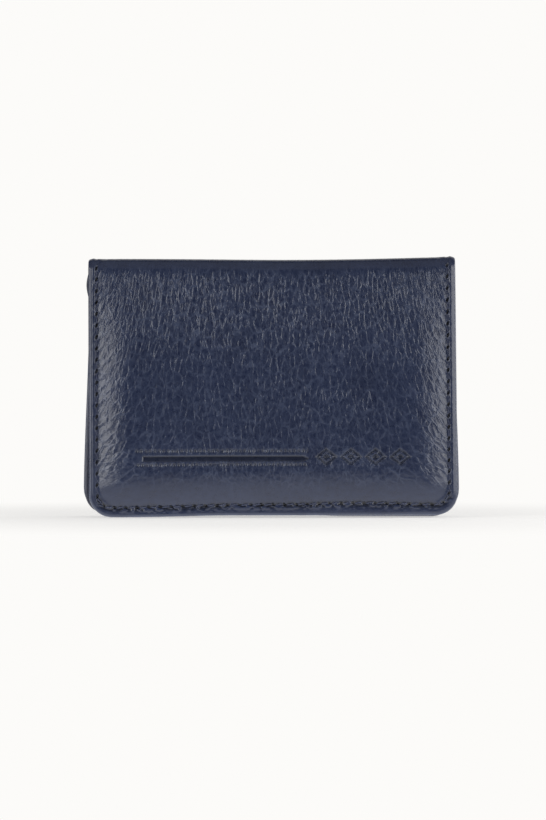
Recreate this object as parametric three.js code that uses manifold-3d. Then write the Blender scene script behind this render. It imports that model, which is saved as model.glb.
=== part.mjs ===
// A leather card holder. Cards stand in a bellows pocket between a back panel and a pocket front,
// and a padded flap folds over from the back, across a narrow spine at the top, and down the front.
// Two pairs of hidden magnets hold the flap shut.
//
// Millimetres. Every piece is drawn in the picture plane of the closed holder: x runs across, y up
// from the surface that it stands on, and z from the back panel towards the flap. The outer group
// turns that upright, so that the holder faces -Y with +Z up.
import * as THREE from "three";
import { mergeVertices } from "three/addons/utils/BufferGeometryUtils.js";
import Module from "manifold-3d";

const wasm = await Module();
wasm.setup();

// Driving dimensions: the closed face.
const FOLD_WIDTH = 105; // across the folds at the top
const FOOT_WIDTH = 106.6; // across the foot, because the face widens a little
const HEIGHT = 74;
const CORNER = 7.3; // the rounded lower corners
const FOLD_RADIUS = 3.5; // outside of each of the two top folds

// Driving dimensions: the sheets.
const LEATHER = 1.1;
const LINING = 0.6;
const SLOT_LEATHER = 0.7;
const GUSSET_LEATHER = 0.6;
const POCKET_BOARD = 1.0;
const THREAD_WIDTH = 0.5;
const THREAD_HEIGHT = 0.35;
const GLUE = 0.1; // between sheets that are glued or sewn face to face
const HANGING = 0.8; // between the closed flap and the pocket front

// Driving dimensions: padding, pocket and magnets.
const FLAP_RISE = 2.2; // how far the flap's foam lifts its leather
const BACK_RISE = 0.9; // the same for the back panel's board
const PAD_RUN = 4; // the width of a pad's rounded edge
const SEAM = 2.3; // a seam's distance from the edge
const PAD_INSET = 3; // a pad starts this far in, just past the seam
const POCKET_DEPTH = 5.6; // room for cards, front to back
const POCKET_TOP = 69.6;
const EDGE_INSET = 0.7; // the pocket and gusset stand this far inside the covers' edge
const GUSSET_FLANGE = 2.2; // the sewn part of the gusset
const GUSSET_CREASE = 5.6; // how far in the gusset folds
const NOTCH_DEPTH = 14.6; // the thumb notch in the pocket's mouth
const NOTCH_HALF_WIDTH = 25;
const MAGNET_RADIUS = 6;
const MAGNET_X = 30;
const MAGNET_Y = 14;
const FLAP_MAGNET = 1.3;
const POCKET_MAGNET = 0.8;
const SLOT_UPPER_TOP = 60; // the mouths of the card slots inside the flap
const SLOT_LOWER_TOP = 47;

// The pressed decoration near the flap's foot: a long groove and a row of lozenges.
const PRESSED = 0.45; // its depth
const BAR = { left: -37.6, right: 9.2, y: 16.8, width: 1.6 };
const LOZENGES = { count: 4, first: 15.4, pitch: 7.1, y: 17.3, halfWidth: 3.1, halfHeight: 2.6 };

// Where each sheet lies, from the back to the front.
const backRimBack = BACK_RISE;
const backRimFront = backRimBack + LEATHER;
const backLiningBack = backRimFront + GLUE;
const gussetBack = backLiningBack + LINING + GLUE;
const gussetFront = gussetBack + POCKET_DEPTH;
const pocketLiningBack = gussetFront + GLUE;
const pocketBoardBack = pocketLiningBack + LINING + GLUE;
const pocketFrontBack = pocketBoardBack + POCKET_BOARD + GLUE;
const pocketFace = pocketFrontBack + LEATHER;
const slotLowerBack = pocketFace + HANGING;
const slotUpperBack = slotLowerBack + SLOT_LEATHER + GLUE;
const flapLiningBack = slotUpperBack + SLOT_LEATHER + GLUE;
const flapRimBack = flapLiningBack + LINING + GLUE;
const flapRimFront = flapRimBack + LEATHER;
const DEPTH = flapRimFront + FLAP_RISE;
const foldBack = backRimBack + FOLD_RADIUS;
const foldFront = flapRimFront - FOLD_RADIUS;
const foldCentreY = HEIGHT - FOLD_RADIUS;

const materials = {
  leather: { color: 0x2b3350, roughness: 0.45 },
  inner_leather: { color: 0x252b42, roughness: 0.55 },
  lining: { color: 0x17181d, roughness: 0.9 },
  thread: { color: 0x1d2440, roughness: 0.8 },
  board: { color: 0x6b5a48, roughness: 0.95 },
  foam: { color: 0xd8d6cf, roughness: 1 },
  magnet: { color: 0xb5b8bc, roughness: 0.3, metalness: 1 },
};
for (const [name, look] of Object.entries(materials)) {
  materials[name] = new THREE.MeshStandardMaterial({ name, metalness: 0, ...look });
}

const halfWidthAt = (y) => (FOOT_WIDTH + ((FOLD_WIDTH - FOOT_WIDTH) * y) / HEIGHT) / 2;

// Solids

function toSolid(geometry) {
  const bare = geometry.clone();
  bare.deleteAttribute("normal");
  bare.deleteAttribute("uv");
  const merged = mergeVertices(bare, 1e-4);
  return new wasm.Manifold(
    new wasm.Mesh({
      numProp: 3,
      vertProperties: merged.attributes.position.array,
      triVerts: new Uint32Array(merged.index.array),
    }),
  );
}

function toGeometry(solid) {
  const { vertProperties, triVerts } = solid.getMesh();
  const geometry = new THREE.BufferGeometry();
  geometry.setAttribute("position", new THREE.BufferAttribute(vertProperties, 3));
  geometry.setIndex(new THREE.BufferAttribute(triVerts, 1));
  geometry.computeVertexNormals();
  return geometry;
}

function slab(shape, back, front) {
  const options = { depth: front - back, bevelEnabled: false, curveSegments: 8 };
  return new THREE.ExtrudeGeometry(shape, options).translate(0, 0, back);
}

// The outline of every panel, an inset in from the edge: straight sides that widen downwards,
// rounded lower corners and a straight top.
function panelOutline(inset, top) {
  const radius = CORNER - inset;
  const side = (y) => halfWidthAt(y) - inset;
  const cornerX = side(CORNER) - radius;
  const shape = new THREE.Shape();
  shape.moveTo(-side(top), top);
  shape.lineTo(-side(CORNER), CORNER);
  shape.absarc(-cornerX, CORNER, radius, Math.PI, 1.5 * Math.PI);
  shape.absarc(cornerX, CORNER, radius, 1.5 * Math.PI, 2 * Math.PI);
  shape.lineTo(side(top), top);
  return shape;
}

// A pillow: its edge is a quarter round from z = base, run wide and rise high, on a straight foot.
function pillow(shape, base, rise, run, foot = 0) {
  const core = foot + 0.2;
  const both = new THREE.ExtrudeGeometry(shape, {
    depth: core,
    bevelThickness: rise,
    bevelSize: run,
    bevelOffset: -run,
    bevelSegments: 4,
    curveSegments: 6,
  }).translate(0, 0, base - core);
  const below = new THREE.BoxGeometry(FOOT_WIDTH + 20, 2 * HEIGHT + 20, 10);
  below.translate(0, 0, base - foot - 5);
  return toSolid(both).subtract(toSolid(below));
}

const padTop = foldCentreY - 0.4;
const padOutline = (shrink) => panelOutline(PAD_INSET + shrink, padTop - shrink);

// A bent sheet, drawn as a ring sector about (z, y) = (centre, foldCentreY).
function foldSector(centre, fromAngle, toAngle) {
  const shape = new THREE.Shape();
  shape.absarc(centre, foldCentreY, FOLD_RADIUS, fromAngle, toAngle, false);
  shape.absarc(centre, foldCentreY, FOLD_RADIUS - LEATHER, toAngle, fromAngle, true);
  return shape;
}

// Extrudes a profile drawn as (z, y) across the holder.
function across(profile, width) {
  const options = { depth: width, bevelEnabled: false, curveSegments: 5 };
  const geometry = new THREE.ExtrudeGeometry(profile, options);
  const turned = new THREE.Matrix4().makeBasis(
    new THREE.Vector3(0, 0, 1),
    new THREE.Vector3(0, 1, 0),
    new THREE.Vector3(-1, 0, 0),
  );
  return geometry.applyMatrix4(turned).translate(width / 2, 0, 0);
}

// Both folds are cut at 45 degrees, where the spine meets the back cover and the flap cover.
const FOLD_GAP = 0.3 / FOLD_RADIUS;
const EIGHTH = Math.PI / 4;

// A cover: a leather sheet in the panel's outline, raised over its padding, with its half of the
// top fold. It faces +z, and its rim's inner face is at z = 0.
function coverSolid(rise) {
  const rim = toSolid(slab(panelOutline(0, foldCentreY), 0, LEATHER));
  const bend = foldSector(LEATHER - FOLD_RADIUS, -0.02, EIGHTH - FOLD_GAP / 2);
  const fold = toSolid(across(bend, 2 * halfWidthAt(foldCentreY)));
  const raised = pillow(padOutline(0), LEATHER, rise, PAD_RUN, LEATHER / 2);
  const hollow = pillow(padOutline(LEATHER), 0, rise, PAD_RUN - LEATHER, 1);
  return rim.add(fold).add(raised).subtract(hollow);
}

// The spine: a flat sheet with half a fold along each edge.
function spineProfile() {
  const inner = FOLD_RADIUS - LEATHER;
  const end = EIGHTH + FOLD_GAP / 2;
  const shape = new THREE.Shape();
  shape.absarc(foldFront, foldCentreY, FOLD_RADIUS, end, 2 * EIGHTH, false);
  shape.absarc(foldBack, foldCentreY, FOLD_RADIUS, 2 * EIGHTH, 4 * EIGHTH - end, false);
  shape.absarc(foldBack, foldCentreY, inner, 4 * EIGHTH - end, 2 * EIGHTH, true);
  shape.absarc(foldFront, foldCentreY, inner, 2 * EIGHTH, end, true);
  return shape;
}

// What fills a cover's hollow.
const fillingSolid = (rise, clear) =>
  pillow(padOutline(LEATHER + clear), clear, rise - 2 * clear, PAD_RUN - LEATHER - clear);

function disc(radius, back, front, x, y) {
  const geometry = new THREE.CylinderGeometry(radius, radius, front - back, 32);
  return geometry.rotateX(Math.PI / 2).translate(x, y, (back + front) / 2);
}

// The pressed decoration

function roundBar(left, right, y, width) {
  const shape = new THREE.Shape();
  const r = width / 2;
  shape.absarc(left + r, y, r, 0.5 * Math.PI, 1.5 * Math.PI);
  shape.absarc(right - r, y, r, 1.5 * Math.PI, 2.5 * Math.PI);
  return shape;
}

function lozenge(x, y, halfWidth, halfHeight) {
  return new THREE.Shape([
    new THREE.Vector2(x - halfWidth, y),
    new THREE.Vector2(x, y - halfHeight),
    new THREE.Vector2(x + halfWidth, y),
    new THREE.Vector2(x, y + halfHeight),
  ]);
}

function pressDecoration(cover) {
  const top = LEATHER + FLAP_RISE;
  const marks = [roundBar(BAR.left, BAR.right, BAR.y, BAR.width)];
  const { count, first, pitch, y, halfWidth, halfHeight } = LOZENGES;
  for (let i = 0; i < count; i++) {
    marks.push(lozenge(first + i * pitch, y, halfWidth, halfHeight));
  }
  const press = (solid, mark) => solid.subtract(toSolid(slab(mark, top - PRESSED, top + 1)));
  return marks.reduce(press, cover);
}

// The pocket

// The pocket's mouth, or a line below it, from left to right: level, with a round thumb notch.
function mouthPoints(below, inset) {
  const level = POCKET_TOP - below;
  const end = halfWidthAt(POCKET_TOP) - inset;
  const points = [new THREE.Vector2(-end, level)];
  const steps = 16;
  for (let i = 0; i <= steps; i++) {
    const t = (2 * i) / steps - 1;
    const dip = (NOTCH_DEPTH * (1 + Math.cos(Math.PI * t))) / 2;
    points.push(new THREE.Vector2(t * NOTCH_HALF_WIDTH, level - dip));
  }
  points.push(new THREE.Vector2(end, level));
  return points;
}

function pocketOutline(inset, below = 0) {
  const shape = panelOutline(inset, POCKET_TOP - below);
  const mouth = mouthPoints(below, inset).slice(1, -1).reverse();
  mouth.forEach(({ x, y }) => shape.lineTo(x, y));
  return shape;
}

function pocketBoardSolid() {
  const shape = pocketOutline(EDGE_INSET + SEAM + 0.6, SEAM + 1);
  const holes = [-1, 1].map((side) => {
    const hole = new THREE.Path();
    hole.absarc(side * MAGNET_X, MAGNET_Y, MAGNET_RADIUS + 0.3, 0, 2 * Math.PI);
    return hole;
  });
  shape.holes.push(...holes);
  return slab(shape, pocketBoardBack, pocketBoardBack + POCKET_BOARD);
}

// The gusset's section, as (-z, inwards): flanges against both panels and a crease half way.
function gussetProfile() {
  const t = GUSSET_LEATHER;
  const half = POCKET_DEPTH / 2;
  const inner = [
    [half, 0],
    [half, GUSSET_FLANGE + 0.3],
    [0, GUSSET_CREASE],
    [-half, GUSSET_FLANGE + 0.3],
    [-half, 0],
  ];
  const outer = [
    [-half + t, 0],
    [-half + t, GUSSET_FLANGE],
    [0, GUSSET_CREASE - 1.4 * t],
    [half - t, GUSSET_FLANGE],
    [half - t, 0],
  ];
  return new THREE.Shape([...inner, ...outer].map(([a, b]) => new THREE.Vector2(a, b)));
}

// An arc in the picture plane, as a curve that an extrusion can follow.
class FlatArc extends THREE.Curve {
  constructor(x, y, z, radius, from, to) {
    super();
    Object.assign(this, { x, y, z, radius, from, to });
  }

  getPoint(t, target = new THREE.Vector3()) {
    const angle = this.from + (this.to - this.from) * t;
    return target.set(this.x + this.radius * Math.cos(angle), this.y + this.radius * Math.sin(angle), this.z);
  }
}

// One side of the gusset, from the pocket's mouth down and round the lower corner.
function gussetSide() {
  const z = (gussetBack + gussetFront) / 2;
  const radius = CORNER - EDGE_INSET;
  const x = halfWidthAt(CORNER) - EDGE_INSET;
  const top = new THREE.Vector3(-x, POCKET_TOP - 0.6, z);
  const arcStart = new THREE.Vector3(-x, CORNER, z);
  const arc = new FlatArc(-x + radius, CORNER, z, radius, Math.PI, 1.5 * Math.PI);
  const extrudePath = new THREE.CurvePath();
  extrudePath.add(new THREE.LineCurve3(top, arcStart));
  extrudePath.add(arc);
  return new THREE.ExtrudeGeometry(gussetProfile(), { steps: 36, extrudePath });
}

function gussetBottom() {
  const z = (gussetBack + gussetFront) / 2;
  const end = halfWidthAt(CORNER) - CORNER - 0.3;
  const extrudePath = new THREE.LineCurve3(
    new THREE.Vector3(-end, EDGE_INSET, z),
    new THREE.Vector3(end, EDGE_INSET, z),
  );
  return new THREE.ExtrudeGeometry(gussetProfile(), { steps: 1, extrudePath });
}

// Threads: each seam is one flat cord that lies on its leather.

function ribbon(points, back) {
  const edge = (sign) =>
    points.map((point, i) => {
      const before = points[Math.max(i - 1, 0)];
      const after = points[Math.min(i + 1, points.length - 1)];
      const along = after.clone().sub(before).normalize();
      const sideways = new THREE.Vector2(-along.y, along.x);
      return point.clone().addScaledVector(sideways, (sign * THREAD_WIDTH) / 2);
    });
  return slab(new THREE.Shape([...edge(-1), ...edge(1).reverse()]), back, back + THREAD_HEIGHT);
}

// The seam round a panel's sides and foot.
const seam = (inset, top, back) => ribbon(panelOutline(inset, top).getPoints(8), back);

const mouthSeam = (back) => ribbon(mouthPoints(SEAM, EDGE_INSET + SEAM + 1), back);

// The assembly

function piece(group, name, shape, material) {
  const geometry = shape.isBufferGeometry ? shape : toGeometry(shape);
  const mesh = new THREE.Mesh(geometry, materials[material]);
  mesh.name = name;
  group.add(mesh);
  return mesh;
}

const holder = new THREE.Group();
const threadGap = 0.06;

// The back panel faces the other way, so its covers are built facing +z and turned round.
const back = new THREE.Group();
back.rotation.y = Math.PI;
back.position.z = backRimFront;
holder.add(back);
piece(back, "back_cover", coverSolid(BACK_RISE), "leather");
piece(back, "back_board", fillingSolid(BACK_RISE, 0.12), "board");
piece(back, "back_thread", seam(SEAM, foldCentreY, LEATHER + threadGap), "thread");
const liningTop = foldCentreY - 0.3;
const backLining = slab(panelOutline(EDGE_INSET, liningTop), backLiningBack, backLiningBack + LINING);
piece(holder, "back_lining", backLining, "lining");

// The bellows gusset runs down one side, along the foot and up the other side.
piece(holder, "gusset_left", gussetSide(), "inner_leather");
piece(holder, "gusset_right", toGeometry(toSolid(gussetSide()).mirror([1, 0, 0])), "inner_leather");
piece(holder, "gusset_bottom", gussetBottom(), "inner_leather");

// The pocket front: leather over a board that holds the magnets, with its own lining.
const pocket = new THREE.Group();
holder.add(pocket);
const pocketLining = slab(pocketOutline(EDGE_INSET + 0.3), pocketLiningBack, pocketLiningBack + LINING);
piece(pocket, "pocket_lining", pocketLining, "lining");
piece(pocket, "pocket_board", pocketBoardSolid(), "board");
piece(pocket, "pocket_front", slab(pocketOutline(EDGE_INSET), pocketFrontBack, pocketFace), "inner_leather");
const pocketSeam = seam(EDGE_INSET + SEAM, POCKET_TOP - SEAM - 1, pocketFace + threadGap);
piece(pocket, "pocket_thread", pocketSeam, "thread");
piece(pocket, "mouth_thread", mouthSeam(pocketFace + threadGap), "thread");

// The spine carries the cover across the top, over the pocket's mouth.
piece(holder, "spine_cover", across(spineProfile(), FOLD_WIDTH), "leather");
const spineLining = new THREE.BoxGeometry(FOLD_WIDTH - 2 * EDGE_INSET, LINING, foldFront - foldBack);
spineLining.translate(0, HEIGHT - LEATHER - GLUE - LINING / 2, (foldBack + foldFront) / 2);
piece(holder, "spine_lining", spineLining, "lining");

// The flap, closed: card slots on its inner side, then lining, foam and the cover.
const flap = new THREE.Group();
flap.position.z = flapRimBack;
holder.add(flap);
piece(flap, "flap_cover", pressDecoration(coverSolid(FLAP_RISE)), "leather");
piece(flap, "flap_thread", seam(SEAM, foldCentreY, LEATHER + threadGap), "thread");
const innerSheet = (top, sheetBack, thickness) =>
  slab(panelOutline(EDGE_INSET, top), sheetBack - flapRimBack, sheetBack - flapRimBack + thickness);
piece(flap, "flap_lining", innerSheet(liningTop, flapLiningBack, LINING), "lining");
piece(flap, "flap_slot_upper", innerSheet(SLOT_UPPER_TOP, slotUpperBack, SLOT_LEATHER), "inner_leather");
piece(flap, "flap_slot_lower", innerSheet(SLOT_LOWER_TOP, slotLowerBack, SLOT_LEATHER), "inner_leather");

// A magnet in each lower corner of the flap faces one in the pocket's board.
let foam = fillingSolid(FLAP_RISE, 0.15);
for (const [side, x] of [["left", -MAGNET_X], ["right", MAGNET_X]]) {
  foam = foam.subtract(toSolid(disc(MAGNET_RADIUS + 0.3, -1, FLAP_MAGNET + 0.3, x, MAGNET_Y)));
  piece(flap, `flap_magnet_${side}`, disc(MAGNET_RADIUS, 0.05, FLAP_MAGNET, x, MAGNET_Y), "magnet");
  const magnetBack = pocketBoardBack + 0.1;
  const pocketMagnet = disc(MAGNET_RADIUS, magnetBack, magnetBack + POCKET_MAGNET, x, MAGNET_Y);
  piece(pocket, `pocket_magnet_${side}`, pocketMagnet, "magnet");
}
piece(flap, "flap_foam", foam, "foam");

// Upright, facing -Y, and centred front to back over the origin.
holder.rotation.x = Math.PI / 2;
holder.position.y = DEPTH / 2;
const cardHolder = new THREE.Group();
cardHolder.add(holder);

export default cardHolder;
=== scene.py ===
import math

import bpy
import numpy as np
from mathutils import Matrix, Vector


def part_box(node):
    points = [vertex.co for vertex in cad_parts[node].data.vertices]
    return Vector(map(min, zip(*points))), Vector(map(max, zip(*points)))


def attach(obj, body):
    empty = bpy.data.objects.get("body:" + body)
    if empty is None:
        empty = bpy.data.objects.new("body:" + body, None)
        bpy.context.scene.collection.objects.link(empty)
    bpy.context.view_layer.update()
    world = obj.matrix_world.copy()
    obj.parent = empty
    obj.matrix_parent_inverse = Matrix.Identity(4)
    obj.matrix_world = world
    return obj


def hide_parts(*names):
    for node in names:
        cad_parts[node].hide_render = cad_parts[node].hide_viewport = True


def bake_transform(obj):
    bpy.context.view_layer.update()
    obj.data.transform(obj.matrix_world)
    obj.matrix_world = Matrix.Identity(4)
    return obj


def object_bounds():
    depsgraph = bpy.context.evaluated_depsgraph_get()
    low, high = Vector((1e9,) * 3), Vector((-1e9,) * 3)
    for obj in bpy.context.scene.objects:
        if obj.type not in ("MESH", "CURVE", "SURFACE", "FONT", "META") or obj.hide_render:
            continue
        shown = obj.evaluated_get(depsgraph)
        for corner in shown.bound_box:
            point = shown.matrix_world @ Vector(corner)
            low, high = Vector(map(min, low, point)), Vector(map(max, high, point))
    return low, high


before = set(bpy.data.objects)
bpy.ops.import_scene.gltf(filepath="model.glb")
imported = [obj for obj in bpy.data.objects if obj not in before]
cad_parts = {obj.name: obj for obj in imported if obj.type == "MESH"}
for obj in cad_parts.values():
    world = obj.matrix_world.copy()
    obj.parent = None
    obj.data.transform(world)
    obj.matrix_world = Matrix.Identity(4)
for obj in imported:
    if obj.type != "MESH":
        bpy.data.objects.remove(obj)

# A navy card holder of pebbled leather, standing closed on its long lower edge.
#
# Shapes are worked out in the plane of the closed holder, in millimetres: x across, y up from the
# foot, z from the back panel towards the flap. to_row() takes them to the frame, in metres.
# Every sheet (leather, lining, slot) is a grid over that plane. A grid point also knows d, its
# distance from the sheet's edge, and the sheet's two faces are heights over the grid.

cad_low, cad_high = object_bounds()

MM = 0.001
HEIGHT = (cad_high.z - cad_low.z) / MM
DEPTH = (cad_high.y - cad_low.y) / MM
HALF_WIDTH = (cad_high.x - cad_low.x) / 2 / MM  # at the foot

# Sizes that the frame's boxes don't give.
HALF_WIDTH_TOP = 52.5  # at the folds
CORNER = 6.7  # radius of the lower corners
BACK_CORNER = 8.0
FOLD_RADIUS = 3.5
LEATHER = 1.1
GLUE = 0.1
EDGE_INSET = 0.7  # the inner sheets stop this far inside the covers' edge
SEAM = 2.4  # the seams run this far inside the edge
STITCH_PITCH = 3.25
FLAP_RISE = 2.15  # how far the padding stands over the rim
BACK_RISE = 0.8
PAD_START = 2.85  # where the padding begins, just inside the seam
PAD_CORNER = 9  # radius of the padding's lower corners
HOLE_DEPTH = 0.5
PEBBLE_DEPTH = 0.15
FLAP_EDGE = (0.85, 0.75)  # the turned edge's width and drop
BACK_EDGE = (0.9, 0.6)
NOTCH_HALF_WIDTH = 25
NOTCH_DEPTH = 14.6

FLAT = HEIGHT - FOLD_RADIUS  # a cover is flat up to here
BEND = FOLD_RADIUS * math.pi / 2  # then it bends over the top through a quarter turn
SEAM_TOP = HEIGHT - 3  # the covers' seams start below the fold


def span(node):
    """A CAD node's lowest and highest x, y and z in the plane of the holder."""
    low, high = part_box(node)
    depth = (DEPTH / 2 - high.y / MM, DEPTH / 2 - low.y / MM)
    return (low.x / MM, high.x / MM), (low.z / MM, high.z / MM), depth


BACK_RIM = span("back_lining")[2][0] - GLUE - LEATHER  # z of the back cover's outer face at its rim
FLAP_RIM = span("flap_lining")[2][1] + GLUE + LEATHER  # the same for the flap
HALF_SPINE = (FLAP_RIM - BACK_RIM) / 2 - FOLD_RADIUS
COVER_END = FLAT + BEND + HALF_SPINE  # the two covers meet in the middle of the spine


def to_row(points):
    """Points (..., 3) in the plane of the holder, as points (n, 3) of the frame in metres."""
    x, y, z = np.moveaxis(np.asarray(points, float), -1, 0)
    return (np.stack([x, DEPTH / 2 - z, y], -1) * MM).reshape(-1, 3)


# Noise and shaping


def smoothstep(x, low, high):
    """0 up to low, 1 from high on, and a smooth rise between them."""
    t = np.clip((x - low) / (high - low), 0, 1)
    return t * t * (3 - 2 * t)


def bump_at(x, centre, width):
    """1 at the centre, falling away smoothly to both sides."""
    return np.exp(-(((x - centre) / width) ** 2))


def hashed(ix, iy, salt):
    """A repeatable number from 0 to 1 for each whole-number cell."""
    n = (ix * 374761393 + iy * 668265263 + salt * 974634777) & 0xFFFFFFFF
    n = ((n ^ (n >> 13)) * 1274126177) & 0xFFFFFFFF
    return ((n ^ (n >> 16)) & 0xFFFFFF) / float(0xFFFFFF)


def noise(x, y, salt):
    """Smooth noise from -1 to 1 that varies over about one unit."""
    ix, iy = np.floor(x).astype(np.int64), np.floor(y).astype(np.int64)
    tx, ty = smoothstep(x - ix, 0, 1), smoothstep(y - iy, 0, 1)
    low = hashed(ix, iy, salt) * (1 - tx) + hashed(ix + 1, iy, salt) * tx
    high = hashed(ix, iy + 1, salt) * (1 - tx) + hashed(ix + 1, iy + 1, salt) * tx
    return 2 * (low * (1 - ty) + high * ty) - 1


def cells(x, y, salt):
    """How far a point is from the border of its cell, in cells of about one unit."""
    ix, iy = np.floor(x).astype(np.int64), np.floor(y).astype(np.int64)
    near, next_near = np.full(x.shape, 9.0), np.full(x.shape, 9.0)
    for dx in (-1, 0, 1):
        for dy in (-1, 0, 1):
            cx = ix + dx + 0.15 + 0.7 * hashed(ix + dx, iy + dy, salt)
            cy = iy + dy + 0.15 + 0.7 * hashed(ix + dx, iy + dy, salt + 1)
            distance = np.hypot(cx - x, cy - y)
            next_near = np.minimum(next_near, np.maximum(near, distance))
            near = np.minimum(near, distance)
    return next_near - near


def pebbles(x, y, width, height, salt):
    """Leather's pebbles: 0 in the creases and 1 on the tops."""
    wx = x / width + 0.55 * noise(x / 5, y / 3.5, salt + 2) + 0.22 * noise(x / 1.7, y / 1.5, salt + 3)
    wy = y / height + 0.25 * noise(x / 5.5, y / 4.9, salt + 4)
    large = 1 - (1 - np.clip(cells(wx, wy, salt) / 0.55, 0, 1)) ** 2
    small = 1 - (1 - np.clip(cells(1.9 * wx, 2.3 * wy, salt + 7) / 0.6, 0, 1)) ** 2
    return 0.7 * large + 0.3 * small


# Grids


def graded(*stops):
    """Rising places through each (place, spacing) stop, spaced as the stop before them says."""
    places = []
    for (start, spacing), (end, _) in zip(stops, stops[1:]):
        places.extend(np.linspace(start, end, max(1, round((end - start) / spacing)), endpoint=False))
    return np.array([*places, stops[-1][0]])


def corner_lift(x, half, corner):
    """How far the rounded lower corner lifts the foot's edge at x."""
    across = np.clip(np.abs(x) - (half - corner), 0, corner)
    return corner - np.sqrt(np.maximum(corner**2 - across**2, 0))


def edge_distance(x, y, half, corner):
    """Distance inwards from the sides, foot and rounded corners."""
    beyond = np.maximum(np.abs(x) - (half - corner), 0)
    below = np.maximum(corner - y, 0)
    in_corner = corner - np.hypot(beyond, below)
    return np.where((beyond > 0) & (below > 0), in_corner, np.minimum(half - np.abs(x), y))


def cover_grid(columns, rows, inset, corner):
    """A cover's grid, from an inset off the foot, up over the fold, to the middle of the spine."""
    x, v = np.meshgrid(columns, rows)
    lift = corner_lift(x, HALF_WIDTH - inset, corner - inset)
    v = np.where(v < FLAT, v + lift * (1 - (v - inset) / (FLAT - inset)), v)
    return x, v, edge_distance(x, v, HALF_WIDTH, corner)


def panel_grid(inset, top, spacing):
    """A flat sheet's grid, an inset in from the covers' edge, up to the curve top(x)."""
    half, corner = HALF_WIDTH - inset, CORNER - inset
    fine, border = 0.14, 0.9  # close together near the edge, for its rounding
    columns = graded((-half, fine), (-half + border, spacing), (half - border, fine), (half, 1))
    height = float(top(np.array([half]))[0]) - inset
    rows = graded((0, fine), (border, spacing), (height - border, fine), (height, 1))
    x, v = np.meshgrid(columns, rows / rows[-1])
    lift = corner_lift(x, half, corner)
    y = lift + v * (top(x) - inset - lift)
    slope = np.hypot(1, np.gradient(top(columns), columns))
    d = np.minimum(edge_distance(x, y, half, corner), (top(x) - inset - y) / slope)
    return x, y + inset, d


# Turning grids into meshes


def in_scene(name, data):
    """A new object of the scene."""
    obj = bpy.data.objects.new(name, data)
    bpy.context.scene.collection.objects.link(obj)
    return obj


def new_object(name, vertices, faces, uv, **attributes):
    """A smooth mesh object. uv and each attribute have one entry for each vertex."""
    mesh = bpy.data.meshes.new(name)
    mesh.from_pydata(np.asarray(vertices).tolist(), [], faces)
    corner_vertex = np.zeros(len(mesh.loops), np.int32)
    mesh.loops.foreach_get("vertex_index", corner_vertex)
    layer = mesh.uv_layers.new(name="UVMap")
    layer.data.foreach_set("uv", np.asarray(uv, np.float32)[corner_vertex].ravel())
    for key, values in attributes.items():
        attribute_data = mesh.attributes.new(key, "FLOAT", "POINT").data
        attribute_data.foreach_set("value", np.asarray(values, np.float32))
    mesh.polygons.foreach_set("use_smooth", np.ones(len(mesh.polygons), bool))
    mesh.validate()
    return in_scene(name, mesh)


UV_UNIT = 100  # millimetres of surface in one unit of UV


def sheet(name, grid, place, outer, inner, cut_top=False, every=6, **attributes):
    """A closed sheet over a grid. outer and inner are its faces' heights, which meet round its edge.
    cut_top says that the sheet is cut off square at its last row, where another one carries on.
    Each attribute is a function over the grid, for the outer face only."""
    x, v, d = grid
    rows, columns = x.shape
    # The inner face keeps the columns near both edges, and one in every few between them.
    near = 6
    kept = sorted({*range(0, columns, every), *range(near), *range(columns - near, columns)})
    inside_grid = [a[:, kept] for a in grid]
    outside = place(x, v, outer(x, v, d))
    inside = place(inside_grid[0], inside_grid[1], inner(*inside_grid))

    out = np.arange(rows * columns).reshape(rows, columns)
    own = np.zeros((rows, len(kept)), bool)
    own[1 : rows if cut_top else rows - 1, 1:-1] = True
    into = out[:, kept].copy()
    into[own] = rows * columns + np.arange(own.sum())
    points = np.concatenate([outside.reshape(-1, 3), inside[own]])
    uv = np.concatenate([np.stack([x, v], -1).reshape(-1, 2), np.stack(inside_grid[:2], -1)[own]])

    faces = np.stack([out[:-1, :-1], out[:-1, 1:], out[1:, 1:], out[1:, :-1]], -1)
    faces = faces.reshape(-1, 4).tolist()
    for k in range(len(kept) - 1):
        between = range(kept[k] + 1, kept[k + 1])
        for i in range(rows - 1):
            face = [into[i, k], into[i + 1, k]]
            if i == rows - 2 and not cut_top:
                face += [out[-1, j] for j in between]
            face += [into[i + 1, k + 1], into[i, k + 1]]
            if i == 0:
                face += [out[0, j] for j in reversed(between)]
            faces.append([int(j) for j in face])
        if cut_top:
            face = [*out[-1, kept[k] : kept[k + 1] + 1], into[-1, k + 1], into[-1, k]]
            faces.append(list(dict.fromkeys(int(j) for j in face)))
    unset = np.zeros(own.sum())
    values = {key: np.append(make(x, v, d).ravel(), unset) for key, make in attributes.items()}
    obj = new_object(name, to_row(points), faces, uv / UV_UNIT, **values)
    if cut_top:
        sharpen(obj.data, out[-1])
        sharpen(obj.data, into[-1])
    return obj


def sharpen(mesh, chain):
    """Makes the edges along a chain of vertices sharp."""
    ends = np.zeros(2 * len(mesh.edges), np.int32)
    mesh.edges.foreach_get("vertices", ends)
    sharp = np.zeros(len(mesh.edges), bool)
    mesh.edges.foreach_get("use_edge_sharp", sharp)
    mesh.edges.foreach_set("use_edge_sharp", sharp | np.isin(ends.reshape(-1, 2), chain).all(1))


# Where the sheets lie


def slump(x, y):
    """The top edge dips a little in the middle and rises to the right, on every piece that reaches it."""
    dip = 0.7 * np.clip((x + 52) / 104, 0, 2) ** 6 - 0.3 * bump_at(x, 6, 26) + 0.2
    return y + dip * smoothstep(y, 0.6 * HEIGHT, HEIGHT)


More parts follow.
